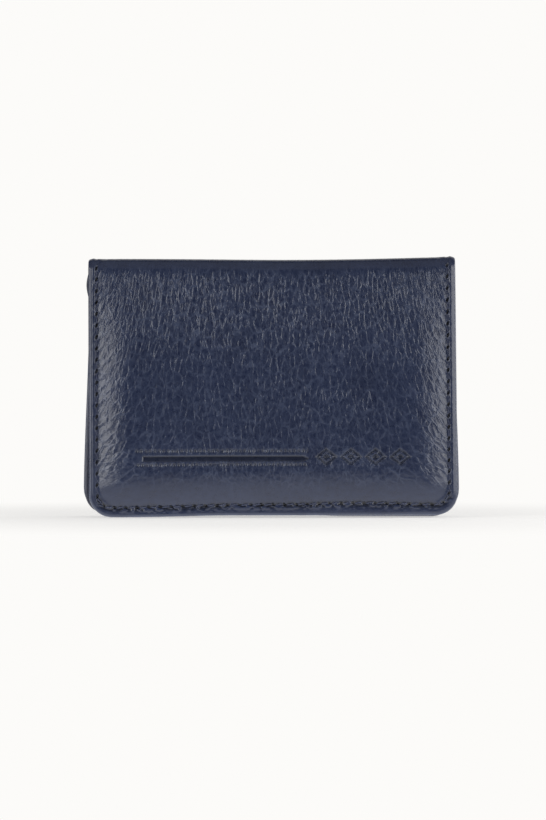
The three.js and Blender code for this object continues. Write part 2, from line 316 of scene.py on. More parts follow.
def flap_set(x, y, z):
    """How the flap lies: its foot is off the floor, but for its left end, and a little to the right."""
    drop = np.clip(1 - y / HEIGHT, 0, 1)
    lift = (0.1 + 0.5 * smoothstep(x, -42, -12) + 0.1 * smoothstep(x, 0, 40)) * (1 - smoothstep(y, 0, 30))
    across = x * (HALF_WIDTH_TOP + 0.1 + 0.35 * drop) / HALF_WIDTH + 0.5 * drop - 0.08
    return np.stack([across, slump(x, y) + lift, z], -1)


def back_set(x, y, z):
    """How the back panel lies: wider towards its foot, where it shows on both sides of the flap."""
    drop = np.clip(1 - y / HEIGHT, 0, 1)
    half = HALF_WIDTH_TOP + 0.05 + 1.65 * smoothstep(drop, 0.15, 0.95)
    lift = 0.35 * (1 - smoothstep(x, 5, 22)) * (1 - smoothstep(y, 0, 20))
    return np.stack([x * half / HALF_WIDTH - 0.16, slump(x, y) + lift, z], -1)


def fold_path(v, height):
    """y and z of a cover's face at v along it, at a height over the rim's outer face."""
    angle = np.clip((v - FLAT) / FOLD_RADIUS, 0, math.pi / 2)
    past = np.maximum(v - FLAT - BEND, 0)
    y = np.minimum(v, FLAT) + (FOLD_RADIUS + height) * np.sin(angle)
    z = height * np.cos(angle) - FOLD_RADIUS * (1 - np.cos(angle)) - past
    return y, z


def on_flap(x, v, height):
    y, z = fold_path(v, height)
    return flap_set(x, y, FLAP_RIM + z)


def on_back(x, v, height):
    y, z = fold_path(v, height)
    return back_set(-x, y, BACK_RIM - z)


# Heights of the sheets' faces over the rim's outer face, and what else varies over them


def edge_roll(d, width, drop):
    """A turned edge: a quarter of an ellipse that starts a drop below the face."""
    return drop * (np.sqrt(np.maximum(1 - (1 - np.clip(d / width, 0, 1)) ** 2, 0)) - 1)


def swell(d, run, power):
    """Padding's profile, from 0 at its border to 1 a run further in; power 1 is a straight ramp."""
    return 1 - (1 - np.clip((d - PAD_START) / run, 0, 1)) ** power


def seam_lengths(inset, top, corner):
    """A U-shaped seam's lengths: one side, one corner, the foot and all of it."""
    side, arc, foot = top - corner, (corner - inset) * math.pi / 2, 2 * (HALF_WIDTH - corner)
    return side, arc, foot, 2 * (side + arc) + foot


def seam_pitch(inset, top, corner):
    total = seam_lengths(inset, top, corner)[-1]
    return total / round(total / STITCH_PITCH)


def seam_coordinate(x, y, inset, top, corner):
    """How far along the seam, from its top left end down, across and up, the nearest point is."""
    side, arc, foot, total = seam_lengths(inset, top, corner)
    across = np.abs(x) - (HALF_WIDTH - corner)
    angle = np.arctan2(np.maximum(corner - y, 0), np.maximum(across, 1e-9))
    left = np.where(y >= corner, top - y, side + (corner - inset) * angle)
    along = np.where(x < 0, left, total - left)
    return np.where((across < 0) & (y < corner), side + arc + x + foot / 2, along)


def seam_point(s, inset, top, corner):
    """The seam's point and direction at s: the inverse of seam_coordinate."""
    half, radius = HALF_WIDTH - inset, corner - inset
    side, arc, _, total = seam_lengths(inset, top, corner)
    mirrored = s > total / 2
    s = np.where(mirrored, total - s, s)
    angle = np.clip((s - side) / radius, 0, math.pi / 2)
    x = -(half - radius) - radius * np.cos(angle) + np.maximum(s - side - arc, 0)
    y = corner - radius * np.sin(angle) + np.maximum(side - s, 0)
    flip = np.where(mirrored, -1, 1)
    return x * flip, y, np.sin(angle), -np.cos(angle) * flip


def needle_holes(x, y, d, inset, top, corner):
    """1 in each needle hole of a U-shaped seam and 0 away from it."""
    pitch = seam_pitch(inset, top, corner)
    off = ((seam_coordinate(x, y, inset, top, corner) / pitch + 0.5) % 1 - 0.5) * pitch
    away = np.hypot((off + 0.8 * (d - inset)) / 0.66, (d - inset) / 0.46)
    return (1 - smoothstep(away, 0.55, 1.1)) * (y < top + 0.5)


def puckers(x, y, d):
    """Slanted wrinkles that each stitch of the flap's side seams draws into the padding."""
    along = seam_coordinate(x, y, SEAM, SEAM_TOP, CORNER)
    side = np.minimum(along, seam_lengths(SEAM, SEAM_TOP, CORNER)[-1] - along)
    turns = (side + 1.25 * (d - SEAM)) / seam_pitch(SEAM, SEAM_TOP, CORNER)
    turns = turns + 0.35 * noise(x / 2.5, y / 3.1, 31)
    wave = np.cos(2 * math.pi * turns) + 0.5 * noise(x / 1.1 + side, y / 1.6, 32)
    fade = smoothstep(d, SEAM, SEAM + 0.5) * np.exp(-np.maximum(d - SEAM, 0) / 2.2) * smoothstep(y, 9, 14)
    return wave * fade * (np.abs(x) > HALF_WIDTH - 12)


def crown(x, v):
    """Soft unevenness of padded leather, over centimetres."""
    below_fold = 1 - smoothstep(v, FLAT - 6, FLAT + 5)
    return (0.16 * noise(x / 17, v / 14, 40) + 0.06 * noise(x / 6, v / 7, 41)) * below_fold


def over_fold(v):
    """The grain is stretched almost flat over the folds, and comes back on the spine."""
    return 1 - 0.95 * smoothstep(v, FLAT - 2, FLAT + 2) + 0.3 * smoothstep(v, FLAT + 4, FLAT + 7)


def grain(x, v, d):
    """How deep the grain is, and how far its crests are painted lighter: pressed flat at the turned edge
    and stretched smooth over the lower pad.
    """
    ragged = v + 1.2 * noise(x / 5, v / 3, 33)
    uneven = 0.76 + 0.36 * smoothstep(v, 40, 60) + 0.12 * noise(x / 9, v / 8, 34)
    uneven *= 1 - 0.9 * bar_profile(x, v)[0]
    return smoothstep(d, 0.5, 3.0) * (0.1 + 0.9 * smoothstep(ragged, 6, 15)) * over_fold(v) * uneven


def slanted(x, v):
    """The flap's skin is drawn upwards and inwards at both sides, and its pebbles with it."""
    return x + 0.5 * (x / HALF_WIDTH) ** 3 * (v - HEIGHT / 2)


def flap_lean(x, v, d):
    """How far that shifts the pebbles."""
    return slanted(x, v) - x


def foot_edge_tint(x, v, d):
    """A paler tint along the turned edge, at the foot and its lower corners."""
    patchy = 0.7 + 0.5 * noise(x / 4, v / 4, 37)
    return 0.7 * bump_at(d, 0.25, 0.4) * patchy * (1 - smoothstep(v, 4, 12))


def flap_worn(x, v, d):
    """Where the flap is painted lighter: painted highlight on its pressed ridge and rings, and its paler
    foot edge.
    """
    return np.maximum(pressed(x, v)[2], foot_edge_tint(x, v, d))


def bar_profile(x, y):
    """The pressed bar: a groove with a point at its right end, a ridge over it and rows of dimples."""
    left, right, middle, half, pitch = -37.6, 9.2, 16.8, 0.8, 1.3
    point = np.clip((right + 1.2 - x) / 1.6, 0, 1)
    within = smoothstep(x, left - 0.3, left + 0.3) * (x < right + 1.2)
    groove = smoothstep(half * point + 0.2 - np.abs(y - middle), 0, 0.4) * within
    groove = groove * (1 + 0.22 * (y - middle) / half)
    ridge = bump_at(y, middle + half + 0.35, 0.24) * within * (x < right + 0.6)
    dimples, rings = 0, 0
    for row, shift in ((middle + 2.3, 0.3), (middle - 1.75, 0.0)):
        run = smoothstep(x, left - 2.6, left - 2.0) * (1 - smoothstep(x, right + 0.6, right + 1.2))
        across = ((x - left) / pitch + shift + 0.5) % 1 * pitch - pitch / 2
        from_hole = np.hypot(across, (y - row) * 0.8)
        dimples = dimples + bump_at(from_hole, 0, 0.36) * run
        rings = rings + bump_at(from_hole, 0.62, 0.2) * run * (0.6 + 0.4 * noise(x / 1.2, y / 2, 52))
    return groove, ridge, dimples, rings


def lozenge_lines(x, y):
    """A row of four pressed lozenge outlines."""
    first, pitch, count, middle = 15.4, 7.1, 4, 17.3
    half_width, half_height = 3.0, 2.5
    index = np.clip(np.round((x - first) / pitch), 0, count - 1)
    reach = np.abs(x - first - index * pitch) / half_width + np.abs(y - middle) / half_height
    outline = bump_at(reach, 0.86, 0.15)
    heart = smoothstep(0.42 - reach, 0, 0.16)
    return np.maximum(outline, heart)


def pressed(x, y):
    """Height of the pressed decoration, its painted shade, and its painted highlight on the ridge and
    rings.
    """
    groove, ridge, dimples, rings = bar_profile(x, y)
    marks = lozenge_lines(x, y)
    height = -0.26 * groove + 0.07 * ridge - 0.28 * dimples + 0.05 * rings - 0.5 * marks
    # Painted shade in the groove, dimples and lozenges.
    dark = np.clip(0.7 * groove + 0.55 * dimples + 0.5 * marks, 0, 1)
    # The third value is painted highlight on the ridge and rings.
    return height, dark, np.clip(0.35 * ridge + 0.15 * rings, 0, 1)


def foot_rise(x):
    """Along the foot the flap's seam wanders this much further from the edge."""
    return 0.45 + 0.3 * smoothstep(x, -38, -8) + 0.55 * bump_at(x, 24, 16)


def seam_distance(x, v):
    """The flap's distance for its seam and padding."""
    return edge_distance(x, v - foot_rise(x), HALF_WIDTH, CORNER)


def at_foot(v):
    """1 along the flap's foot and 0 above it."""
    return 1 - smoothstep(v, 5, 7)


def foot_wrinkles(x, v, d):
    """Ragged wrinkles between the stitches along the flap's foot, where flap_shade paints shade."""
    ragged = smoothstep(noise(x / 0.9, v / 0.7, 35) + 0.5 * noise(x / 0.4, v / 0.35, 36), -0.45, 0.35)
    return bump_at(d, SEAM - 0.35, 0.95) * ragged * at_foot(v)


def flap_padding(x, v, d):
    """The flap's padding: a rounded ramp inside the seam, which sinks away towards the fold."""
    rounded = edge_distance(x, v - foot_rise(x), HALF_WIDTH, PAD_CORNER)
    top = 1 - smoothstep(v, 44, COVER_END)
    return FLAP_RISE * swell(rounded, 9.5, 1.75) * swell(d, 0.8, 2) * top


def flap_outer(x, v, d):
    d_seam = seam_distance(x, v)
    width, drop = FLAP_EDGE
    height = edge_roll(d, width + 0.4 * smoothstep(x, 30, 50), drop)
    height += flap_padding(x, v, d_seam) + crown(x, v) * smoothstep(d, 3, 9)
    height += 0.18 * bump_at(d_seam, 1.5, 0.5) * (1 - 0.6 * at_foot(v))
    height += 0.12 * puckers(x, v, d_seam) - 0.24 * foot_wrinkles(x, v, d_seam)
    height -= HOLE_DEPTH * needle_holes(x, v - foot_rise(x), d_seam, SEAM, SEAM_TOP, CORNER)
    height += PEBBLE_DEPTH * (pebbles(slanted(x, v), v, 1.9, 3.6, 11) - 1) * grain(x, v, d)
    return height + pressed(x, v)[0]


def flap_shade(x, v, d):
    """Painted shade in the flap's needle holes, the wrinkles along its foot and its pressed marks."""
    d_seam = seam_distance(x, v)
    holes = needle_holes(x, v - foot_rise(x), d_seam, SEAM, SEAM_TOP, CORNER)
    return np.clip(holes + 0.8 * foot_wrinkles(x, v, d_seam) + 0.8 * pressed(x, v)[1], 0, 1)


def flap_inner(x, v, d):
    return flap_padding(x, v, seam_distance(x, v) - LEATHER) - edge_roll(d, 0.3, 0.2) - LEATHER


def back_padding(v, d):
    return BACK_RISE * swell(d, 6, 1.8) * (1 - smoothstep(v, FLAT - 6, FLAT + 3))


def back_outer(x, v, d):
    height = edge_roll(d, *BACK_EDGE) + back_padding(v, d) + 0.1 * bump_at(d, 1.3, 0.55)
    height -= 0.15 * bump_at(d, SEAM, 0.3) * (v < SEAM_TOP)
    height -= HOLE_DEPTH * needle_holes(x, v, d, SEAM, SEAM_TOP, BACK_CORNER)
    return height + PEBBLE_DEPTH * (pebbles(x, v, 2.0, 3.4, 71) - 1) * back_grain(x, v, d)


def back_shade(x, v, d):
    # Painted shade in the back's needle holes.
    return needle_holes(x, v, d, SEAM, SEAM_TOP, BACK_CORNER)


def back_grain(x, v, d):
    uneven = 0.75 + 0.2 * noise(x / 12, v / 10, 72)
    return smoothstep(d, 0.5, 3.0) * over_fold(v) * uneven


def back_inner(x, v, d):
    return back_padding(v, d - LEATHER) - edge_roll(d, 0.9, 0.5) - LEATHER


# Materials


def new_material(name):
    """A node material, with its tree and its shader."""
    material = bpy.data.materials.new(name)
    material.use_nodes = True
    return material, material.node_tree, material.node_tree.nodes["Principled BSDF"]


def add(tree, kind, inputs=None, **settings):
    """A node with its settings, and inputs that are sockets to link or plain values."""
    node = tree.nodes.new(kind)
    for key, value in settings.items():
        setattr(node, key, value)
    for key, value in (inputs or {}).items():
        if isinstance(value, bpy.types.NodeSocket):
            tree.links.new(value, node.inputs[key])
        else:
            node.inputs[key].default_value = value
    return node


def math_node(tree, operation, a, b=0.0):
    return add(tree, "ShaderNodeMath", {0: a, 1: b}, operation=operation).outputs[0]


def plus(tree, a, b):
    return math_node(tree, "ADD", a, b)


def times(tree, a, b):
    return math_node(tree, "MULTIPLY", a, b)


def vector_node(tree, operation, inputs):
    return add(tree, "ShaderNodeVectorMath", inputs, operation=operation).outputs[0]


def surface_millimetres(tree):
    """The UV map as millimetres of surface, which stay with the sheet as it bends."""
    uv = add(tree, "ShaderNodeUVMap", uv_map="UVMap").outputs["UV"]
    return vector_node(tree, "SCALE", {0: uv, "Scale": UV_UNIT})


def attribute(tree, name):
    return add(tree, "ShaderNodeAttribute", attribute_name=name).outputs["Fac"]


def scaled(tree, vector, scale):
    return add(tree, "ShaderNodeMapping", {"Vector": vector, "Scale": scale}).outputs[0]


def noise_node(tree, place, scale, detail):
    return add(tree, "ShaderNodeTexNoise", {"Vector": place, "Scale": scale, "Detail": detail})


def mapped(tree, value, start, end, low=0.0, high=1.0, kind="LINEAR"):
    """A value that goes from low at the start to high at the end."""
    ranges = {"Value": value, "From Min": start, "From Max": end, "To Min": low, "To Max": high}
    return add(tree, "ShaderNodeMapRange", ranges, interpolation_type=kind).outputs[0]


def ramp(tree, value, *stops):
    node = add(tree, "ShaderNodeValToRGB", {"Fac": value})
    while len(node.color_ramp.elements) < len(stops):
        node.color_ramp.elements.new(0.5)
    for element, (position, colour) in zip(node.color_ramp.elements, stops):
        element.position = position
        element.color = (*colour, 1)
    return node.outputs["Color"]


def mixed(tree, factor, a, b):
    node = add(tree, "ShaderNodeMix", {"Factor": factor, "A": a, "B": (*b, 1)}, data_type="RGBA")
    return node.outputs["Result"]


def set_relief(tree, shader, height, depth, strength=1.0):
    """Fine relief in the shader, with its depth in millimetres."""
    bump = add(tree, "ShaderNodeBump", {"Strength": strength, "Distance": depth * MM, "Height": height})
    tree.links.new(bump.outputs[0], shader.inputs["Normal"])


def wrinkles(tree, place, width, height, reach):
    """A net of raised wrinkles: 1 along them, falling to 0 a reach away, in cells."""
    place = scaled(tree, place, (1 / width, 1 / height, 1))
    net = add(tree, "ShaderNodeTexVoronoi", {"Vector": place, "Scale": 1.0}, feature="DISTANCE_TO_EDGE")
    return mapped(tree, net.outputs["Distance"], 0.0, reach, 1.0, 0.0, kind="SMOOTHSTEP")


# Colour for painted highlight on the leather's wrinkle crests, pressed ridge and rings, and for its paler
# foot edge
HIGHLIGHT_EDGE_COLOUR = (0.064, 0.08, 0.132)
# Near-black for painted shade in holes, foot wrinkles and pressed marks
PAINTED_SHADE = (0.0006, 0.0007, 0.0015)


def leather(name, shades, roughness, cell, depth, worked=False):
    """Dyed leather in three shades, with a net of fine wrinkles and pores. cell is the net's width and
    height and depth its relief, in millimetres. Worked leather also has attributes: grain is how deep
    the wrinkles are and how far their crests are painted lighter as painted highlight, lean how far
    they are shifted, shade where painted shade darkens its holes, foot wrinkles and pressed marks, and
    one more where it is painted lighter: painted highlight on its pressed ridge and rings, and a paler
    tint along the foot's turned edge."""
    material, tree, shader = new_material(name)
    place = surface_millimetres(tree)
    width, height = cell
    if worked:
        lean = add(tree, "ShaderNodeCombineXYZ", {"X": attribute(tree, "lean")}).outputs[0]
        place = vector_node(tree, "ADD", {0: place, 1: lean})

    wander = noise_node(tree, place, 0.22, 3.0).outputs["Color"]
    bent = vector_node(tree, "ADD", {0: place, 1: vector_node(tree, "SCALE", {0: wander, "Scale": 1.6})})
    uneven = mapped(tree, noise_node(tree, place, 0.35, 2.0).outputs["Fac"], 0.38, 0.62, 0.5, 1.15)
    coarse = times(tree, wrinkles(tree, bent, width, height, 0.13), uneven)
    fine = wrinkles(tree, bent, width / 1.9, height / 2.1, 0.17)
    crests = plus(tree, coarse, times(tree, fine, 0.4))
    pores = noise_node(tree, place, 2.6, 3.0).outputs["Fac"]
    relief = plus(tree, crests, times(tree, pores, 0.25))
    if worked:
        deep = attribute(tree, "grain")
        relief = times(tree, relief, deep)
    set_relief(tree, shader, relief, depth)

    patches = noise_node(tree, place, 0.09, 3.0).outputs["Fac"]
    mottle = noise_node(tree, place, 0.7, 4.0).outputs["Fac"]
    varied = plus(tree, times(tree, patches, 0.5), times(tree, mottle, 0.5))
    colour = ramp(tree, varied, *zip((0.36, 0.5, 0.64), shades))
    if worked:
        # Painted highlight: the wrinkles' crests and the pressed ridge and rings are painted lighter, and
        # the foot's edge is paler
        on_crests = times(tree, times(tree, crests, deep), 0.4)
        highlight_edge_mix = math_node(tree, "MAXIMUM", on_crests, times(tree, attribute(tree, "worn"), 0.6))
        colour = mixed(tree, highlight_edge_mix, colour, HIGHLIGHT_EDGE_COLOUR)
        # Painted shade: holes, foot wrinkles and pressed marks are darkened towards near-black
        colour = mixed(tree, times(tree, attribute(tree, "shade"), 0.9), colour, PAINTED_SHADE)
    tree.links.new(colour, shader.inputs["Base Color"])
    rough = mapped(tree, mottle, 0.3, 0.7, roughness - 0.05, roughness + 0.07)
    tree.links.new(rough, shader.inputs["Roughness"])
    shader.inputs["Specular IOR Level"].default_value = 0.5
    return material


def thread_material(name, colour):
    """Waxed two-ply thread: its ply winds round it."""
    material, tree, shader = new_material(name)
    uv = add(tree, "ShaderNodeUVMap", uv_map="UVMap").outputs["UV"]
    parts = add(tree, "ShaderNodeSeparateXYZ", {0: uv})
    turn = plus(tree, times(tree, parts.outputs[0], 5.0), parts.outputs[1])
    ply = math_node(tree, "SINE", times(tree, turn, 4 * math.pi))
    set_relief(tree, shader, ply, 0.06, 0.8)
    # Painted shade: the thread is darker in the hollows between its plies
    dark = [c * 0.5 for c in colour]
    shade = ramp(tree, mapped(tree, ply, -1.0, 1.0), (0.0, dark), (1.0, colour))
    tree.links.new(shade, shader.inputs["Base Color"])
    shader.inputs["Roughness"].default_value = 0.55
    return material


def twill_material(name, dark, light):
    """Lining cloth: a fine twill."""
    material, tree, shader = new_material(name)
    place = surface_millimetres(tree)
    parts = add(tree, "ShaderNodeSeparateXYZ", {0: place})
    across, up = parts.outputs[0], parts.outputs[1]
    diagonal = math_node(tree, "SINE", times(tree, plus(tree, across, up), 7.5))
    yarns = math_node(tree, "SINE", times(tree, across, 16.0))
    slubs = noise_node(tree, scaled(tree, place, (0.4, 3.0, 1)), 1.0, 3.0).outputs["Fac"]
    weave = plus(tree, plus(tree, diagonal, times(tree, yarns, 0.4)), slubs)
    set_relief(tree, shader, weave, 0.08, 0.7)
    # Painted shade: the cloth is darker in the hollows of its weave
    shade = ramp(tree, mapped(tree, weave, -1.2, 2.0), (0.0, dark), (1.0, light))
    tree.links.new(shade, shader.inputs["Base Color"])
    shader.inputs["Roughness"].default_value = 0.82
    shader.inputs["Sheen Weight"].default_value = 0.25
    return material


def speckled_material(name, dark, light, roughness, scale, depth, metallic=0.0):
    """Board, foam or plated metal: a speckled surface with a fine texture."""
    material, tree, shader = new_material(name)
    place = add(tree, "ShaderNodeTexCoord").outputs["Object"]
    speckle = noise_node(tree, place, scale / MM, 5.0).outputs["Fac"]
    set_relief(tree, shader, speckle, depth, 0.6)
    tree.links.new(ramp(tree, speckle, (0.35, dark), (0.65, light)), shader.inputs["Base Color"])
    shader.inputs["Roughness"].default_value = roughness
    shader.inputs["Metallic"].default_value = metallic
    return material


outer_leather = leather(
    "pebbled_leather", ((0.008, 0.0128, 0.036), (0.0108, 0.0172, 0.045), (0.015, 0.0225, 0.054)),
    0.3, (1.7, 4.2), 0.052, worked=True)
inner_leather = leather(
    "smooth_leather", ((0.008, 0.011, 0.026), (0.011, 0.0145, 0.033), (0.014, 0.018, 0.040)),
    0.5, (1.1, 1.2), 0.03)
thread = thread_material("waxed_thread", (0.045, 0.056, 0.11))
twill = twill_material("lining_twill", (0.006, 0.006, 0.008), (0.022, 0.023, 0.028))
fibreboard = speckled_material(
    "fibreboard", (0.10, 0.075, 0.05), (0.17, 0.13, 0.09), 0.9, 1.6, 0.05)
foam = speckled_material(
    "open_foam", (0.55, 0.53, 0.48), (0.75, 0.73, 0.68), 1.0, 2.2, 0.2)
nickel = speckled_material(
    "nickel_plate", (0.55, 0.55, 0.56), (0.68, 0.68, 0.68), 0.28, 3.0, 0.004, metallic=1.0)


def set_material(obj, material):
    obj.data.materials.clear()
    obj.data.materials.append(material)


def finish_piece(obj, material, slot, *nodes):
    """Gives a piece its material and hides the CAD nodes that it stands for; slot is not used."""
    set_material(obj, material)
    if nodes:
        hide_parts(*nodes)
    return obj


# Outer leather


def front_bend(obj):
    """Bakes the transform of a piece that runs over the front fold, from the spine to the flap."""
    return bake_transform(obj)


def back_bend(obj):
    """Bakes the transform of a piece that runs over the back fold, from the back panel to the spine."""
    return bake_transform(obj)


BORDER = 3.2  # the covers' grids are fine up to here, for the turned edge and the seam
FINE = 0.12


def make_flap_leather():
    # The grid is finer again across the pressed decoration.
    inner = HALF_WIDTH - BORDER
    columns = graded((-HALF_WIDTH, FINE), (-inner, 0.36), (-41, 0.27), (39, 0.36), (inner, FINE),
                     (HALF_WIDTH, 1))
    rows = graded((0, FINE), (BORDER, 0.34), (14.2, 0.18), (20.2, 0.34), (FLAT - 1, 0.4), (COVER_END, 1))
    obj = sheet("flap_leather", cover_grid(columns, rows, 0, CORNER), on_flap, flap_outer, flap_inner,
                cut_top=True, shade=flap_shade, grain=grain, worn=flap_worn, lean=flap_lean)
    finish_piece(obj, outer_leather, "leather", "flap_cover", "spine_cover")
    return front_bend(obj)


def make_back_leather():
    inner = HALF_WIDTH - BORDER
    columns = graded((-HALF_WIDTH, FINE), (-inner, 0.5), (inner, FINE), (HALF_WIDTH, 1))
    rows = graded((0, FINE), (BORDER, 0.55), (FLAT - 1, 0.35), (COVER_END, 1))
    obj = sheet("back_leather", cover_grid(columns, rows, 0, BACK_CORNER), on_back, back_outer, back_inner,
                cut_top=True, shade=back_shade, grain=back_grain, worn=foot_edge_tint)
    finish_piece(obj, outer_leather, "leather", "back_cover")
    return back_bend(obj)


make_flap_leather()
make_back_leather()

# Foam between the flap's leather and lining, with a recess for each magnet


def foam_front(x, v, d):
    return flap_padding(x, v, seam_distance(x, v) - LEATHER) - LEATHER - 0.06


def foam_back(x, v, d):
    (left, right), (low, high), (_, magnet_front) = span("flap_magnet_right")
    recess = magnet_front - (FLAP_RIM - LEATHER) + 0.1
    away = np.hypot(np.abs(x) - (left + right) / 2, v - (low + high) / 2)
    back = -LEATHER - 0.04 + np.where(away < (high - low) / 2 + 0.3, recess, 0)
    return np.minimum(back, foam_front(x, v, d) - 0.05)


def make_foam():
    inset = PAD_START + LEATHER + 0.4
    half = HALF_WIDTH - inset
    columns = graded((-half, 0.6), (half, 1))
    rows = graded((inset, 0.6), (FLAT - 2, 1))
    grid = cover_grid(columns, rows, inset, CORNER)
    obj = sheet("flap_foam_pad", grid, on_flap, foam_front, foam_back, every=1)
    finish_piece(obj, foam, "foam", "flap_foam")
    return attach(obj, "flap")


make_foam()

# Linings


def lining_faces(inset):
    """The heights of a lining's two faces, glued inside a cover, with its edge an inset in."""
    thick = 0.6

    def outer(x, v, d):
        return -LEATHER - GLUE + edge_roll(d - inset, thick / 2, thick / 2)

    def inner(x, v, d):
        return -LEATHER - GLUE - thick - edge_roll(d - inset, thick / 2, thick / 2)

    return outer, inner


def make_lining(name, place, corner, nodes):
    """A lining glued inside a cover. Its inner face is the one that shows."""
    inset = EDGE_INSET
    half = HALF_WIDTH - inset
    fine, border = 0.1, 0.4
    columns = graded((-half, fine), (-half + border, 1.2), (half - border, fine), (half, 1))
    rows = graded((inset, fine), (inset + border, 1.5), (FLAT, 0.3), (COVER_END, 1))
    outer, inner = lining_faces(inset)
    obj = sheet(name, cover_grid(columns, rows, inset, corner), place, outer, inner, cut_top=True, every=3)
    finish_piece(obj, twill, "lining", *nodes)
    return obj


front_bend(make_lining("flap_lining_cloth", on_flap, CORNER, ["flap_lining", "spine_lining"]))
back_bend(make_lining("back_lining_cloth", on_back, BACK_CORNER, ["back_lining"]))

# Flat leather panels


def flat_panel(name, place, inset, top, z, material, slot, nodes, spacing=0.8, face=None, rim=0):
    """A flat panel up to the curve top(x) and between z[0] and z[1], with rounded edges. face adds
    relief to its z[1] side, and rim is how far its turned border stands back from its z[0] side."""
    back, front = z
    radius = (front - back) / 2 * 0.9

    def outer(x, y, d):
        relief = 0 if face is None else face(x, y, d)
        return front + edge_roll(d, radius, radius) + relief

    def inner(x, y, d):
        border = (1 - smoothstep(d, 2.0, 2.6)) * smoothstep(d, 0, 0.3)
        return back - edge_roll(d, radius, radius) - rim * border

    obj = sheet(name, panel_grid(inset, top, spacing), place, outer, inner, every=2 if rim else 6)
    return finish_piece(obj, material, slot, *nodes)


def level(y):
    """A straight top edge at y."""
    return lambda x: np.full(np.shape(x), float(y))


def notched(x):
    """The pocket's mouth, with its thumb notch."""
    top = span("pocket_front")[1][1]
    return top - NOTCH_DEPTH * (1 + np.cos(math.pi * np.clip(x / NOTCH_HALF_WIDTH, -1, 1))) / 2


def pocket_set(x, y, z):
    """The pocket's upper left corner stands out a little past the flap."""
    return back_set(x - 1.3 * smoothstep(-x, 44, 53) * bump_at(y, 66.5, 4.5), y, z)


def mouth_band(d_top):
    """A turned mouth: a slightly thicker band with a creased line along it."""
    return 0.12 * (1 - smoothstep(d_top, 3.6, 4.2)) - 0.16 * bump_at(d_top, 1.5, 0.22)


def pocket_face(x, y, d):
    """Relief of the pocket's front: a little padding, its seam and its turned mouth."""
    d_top = (notched(x) - y) * 0.9  # roughly square to the sloping mouth
    seam_top, groove_top = span("pocket_thread")[1][1], 66
    holes = needle_holes(x, y, d + EDGE_INSET, SEAM + EDGE_INSET, seam_top, CORNER)
    groove = 0.15 * bump_at(d, SEAM, 0.32) * (y < groove_top)
    soft = 0.2 * swell(d, 6, 1.8) + 0.05 * noise(x / 9, y / 8, 5)
    return soft - groove - 0.3 * holes + mouth_band(d_top)


def make_pocket():
    """The pocket's leather, turned round its board down to the lining, and the lining."""
    front, behind = span("pocket_front")[2], span("pocket_lining")[2]
    inset = EDGE_INSET + 0.3
    cover = flat_panel("pocket_leather", pocket_set, EDGE_INSET, notched, front, inner_leather,
                       "inner_leather", ["pocket_front"], spacing=0.5, face=pocket_face,
                       rim=front[0] - behind[1] - 0.04)
    lining = flat_panel("pocket_lining_cloth", pocket_set, inset, notched, behind, twill, "lining",
                        ["pocket_lining"])
    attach(cover, "pocket")
    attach(lining, "pocket")


def make_slot(name):
    """A card slot inside the flap. It faces the pocket, so it is built facing +z and turned round."""
    _, (_, top), (back, front) = span(name)

    def turned(x, y, z):
        return flap_set(-x, y, back + front - z)

    def face(x, y, d):
        return mouth_band(top - y)

    obj = flat_panel(name + "_leather", turned, EDGE_INSET, level(top), (back, front), inner_leather,
                     "inner_leather", [name], face=face)
    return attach(obj, "flap")


make_pocket()
make_slot("flap_slot_upper")
make_slot("flap_slot_lower")

# Gusset


def make_gusset():
    """One strip round the sides and foot, folded inwards between the back panel and the pocket."""
    z0, z1 = span("gusset_left")[2]
    middle, half = (z0 + z1) / 2, (z1 - z0) / 2
    thick, flange, crease = 0.6, 2.2, 5.6
    top = span("gusset_left")[1][1]
    # Its section, as (inwards, z) points round a closed outline.
    steps = np.linspace(-1, 1, 17)
    bow = 1 - np.abs(steps) ** 1.4
    inner_fold = flange + (crease - flange) * bow
    inner = [(0, -half), *zip(inner_fold, steps * half), (0, half)]
    outer_fold = flange - 0.2 + (crease - flange - 0.8) * bow
    outer = [(0, half - thick), *zip(outer_fold, -steps * (half - thick)), (0, -half + thick)]
    section = np.array(inner + outer)
    # Its path: down the left side, round the corner, along the foot and up the right side.
    s = np.linspace(0, seam_lengths(EDGE_INSET, top, CORNER)[-1], 260)
    x, y, tx, ty = seam_point(s, EDGE_INSET, top, CORNER)
    inward_x, inward_y = -ty, tx
    ripple = 0.12 * noise(s / 9, np.zeros_like(s), 61)
    reach = section[:, 0][None, :] * (1 + ripple[:, None])
    px = x[:, None] + inward_x[:, None] * reach
    py = y[:, None] + inward_y[:, None] * reach
    pz = np.broadcast_to(middle + section[:, 1], px.shape)
    points = pocket_set(px, py, pz)
    rings, around = px.shape
    index = np.arange(rings * around).reshape(rings, around)
    nxt = np.roll(index, -1, 1)
    faces = np.stack([index[:-1], index[1:], nxt[1:], nxt[:-1]], -1).reshape(-1, 4).tolist()
    faces += [index[0].tolist(), index[-1][::-1].tolist()]
    girth = np.cumsum(np.hypot(*np.diff(section, axis=0, prepend=section[:1]).T))
    uv = np.stack(np.broadcast_arrays(girth[None, :], s[:, None]), -1).reshape(-1, 2) / UV_UNIT
    obj = new_object("gusset_leather", to_row(points), faces, uv)
    finish_piece(obj, inner_leather, "inner_leather", "gusset_left", "gusset_right", "gusset_bottom")
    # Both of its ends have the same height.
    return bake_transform(obj)


make_gusset()

# Stitches


def unit(vectors):
    return vectors / np.linalg.norm(vectors, axis=1, keepdims=True)


